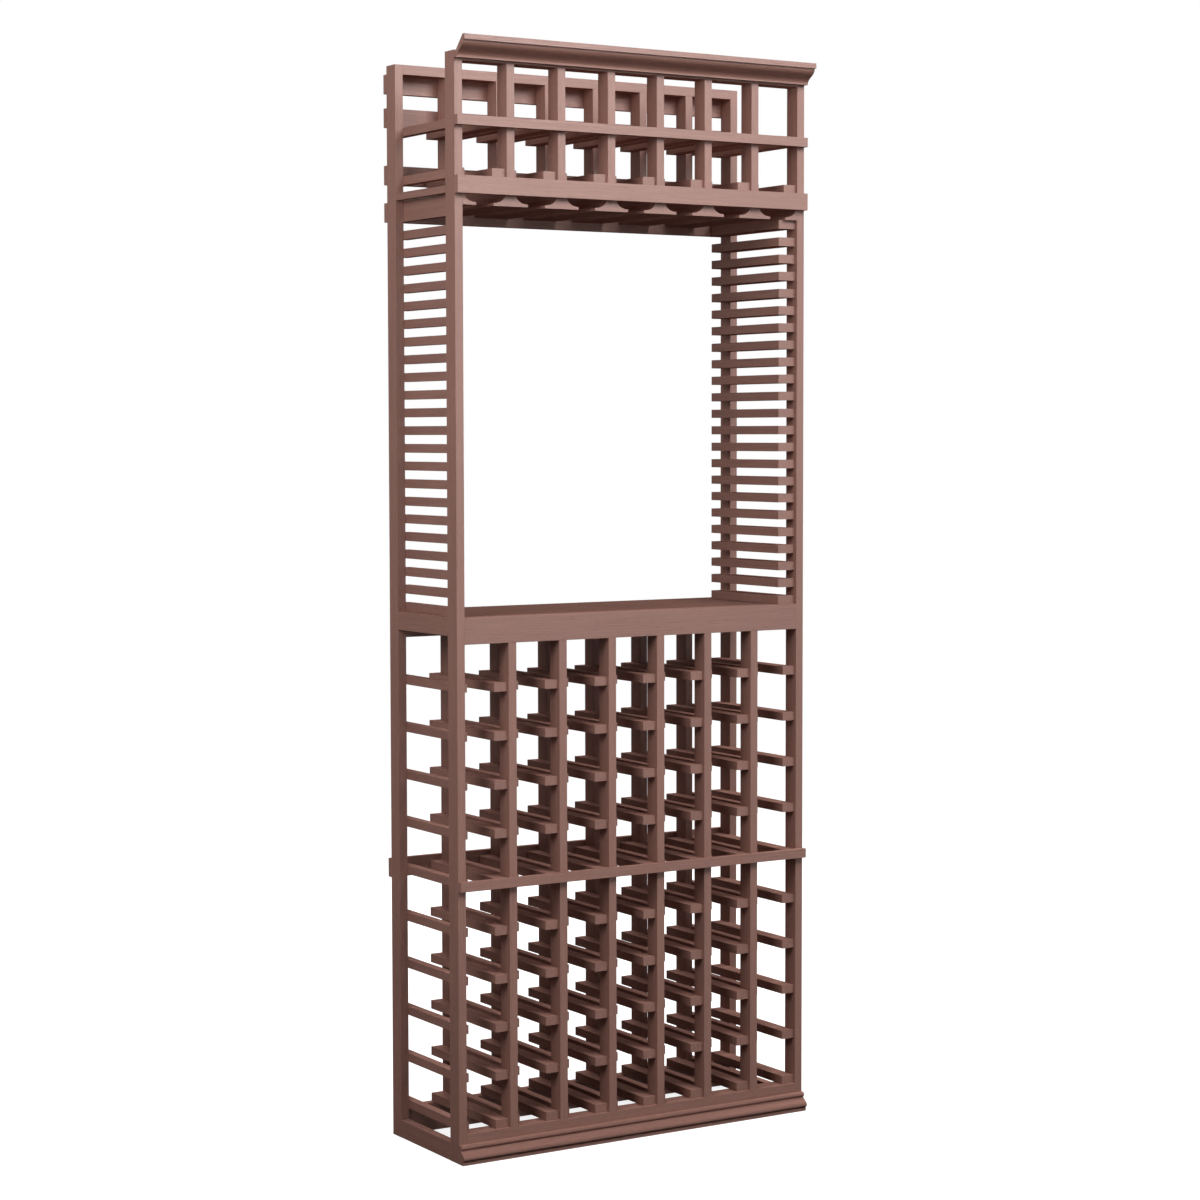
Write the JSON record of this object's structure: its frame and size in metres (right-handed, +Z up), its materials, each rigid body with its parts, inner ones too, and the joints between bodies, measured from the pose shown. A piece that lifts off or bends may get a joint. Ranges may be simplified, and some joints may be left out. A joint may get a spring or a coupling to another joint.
{
  "type": "wine tasting station",
  "caption": "Tall slatted wooden wine rack with bottle cells above and below an open serving alcove, a table board, a hanging stem-glass rack, crown and toe mouldings.",
  "frame": {"origin": "on the floor, at the middle of the overall box", "axes": "+X to the viewer's right, +Y to the rear, away from the viewer, +Z up"},
  "size_m": [0.8176, 0.3312, 2.1635],
  "materials": {
    "stained_wood": "satin reddish-brown stain over fine straight grain",
    "zinc_steel": "zinc-plated screws"
  },
  "bodies": {
    "root": {"alcove_slats_left": "stained_wood", "alcove_slats_right": "stained_wood", "apron_front": "stained_wood", "apron_left": "stained_wood", "apron_rear": "stained_wood", "apron_right": "stained_wood", "bottle_rails_row_01": "stained_wood", "bottle_rails_row_02": "stained_wood", "bottle_rails_row_03": "stained_wood", "bottle_rails_row_04": "stained_wood", "bottle_rails_row_05": "stained_wood", "bottle_rails_row_06": "stained_wood", "bottle_rails_row_07": "stained_wood", "bottle_rails_row_08": "stained_wood", "bottle_rails_row_09": "stained_wood", "bottle_rails_row_10": "stained_wood", "crown_moulding": "stained_wood", "fascia_board": "stained_wood", "ladder_base_rails": "stained_wood", "lower_front_uprights": "stained_wood", "lower_rear_uprights": "stained_wood", "mid_strip_front": "stained_wood", "mid_strip_rear": "stained_wood", "plinth_front": "stained_wood", "plinth_left": "stained_wood", "plinth_rear": "stained_wood", "plinth_right": "stained_wood", "post_front_left": "stained_wood", "post_front_right": "stained_wood", "post_rear_left": "stained_wood", "post_rear_right": "stained_wood", "rear_strip_1": "stained_wood", "rear_strip_2": "stained_wood", "rear_strip_3": "stained_wood", "rear_strip_4": "stained_wood", "side_rail_left": "stained_wood", "side_rail_right": "stained_wood", "stem_rail_1": "stained_wood", "stem_rail_2": "stained_wood", "stem_rail_3": "stained_wood", "stem_rail_4": "stained_wood", "stem_rail_5": "stained_wood", "stem_rail_6": "stained_wood", "stem_rail_half_left": "stained_wood", "stem_rail_half_right": "stained_wood", "strip_screws": "zinc_steel", "table_top": "stained_wood", "toe_moulding": "stained_wood", "top_rail_front": "stained_wood", "top_rail_rear": "stained_wood", "upper_front_uprights": "stained_wood", "upper_rails_row_1": "stained_wood", "upper_rails_row_2": "stained_wood", "upper_rear_uprights": "stained_wood", "upper_strip_front": "stained_wood"}
  },
  "joints": []
}
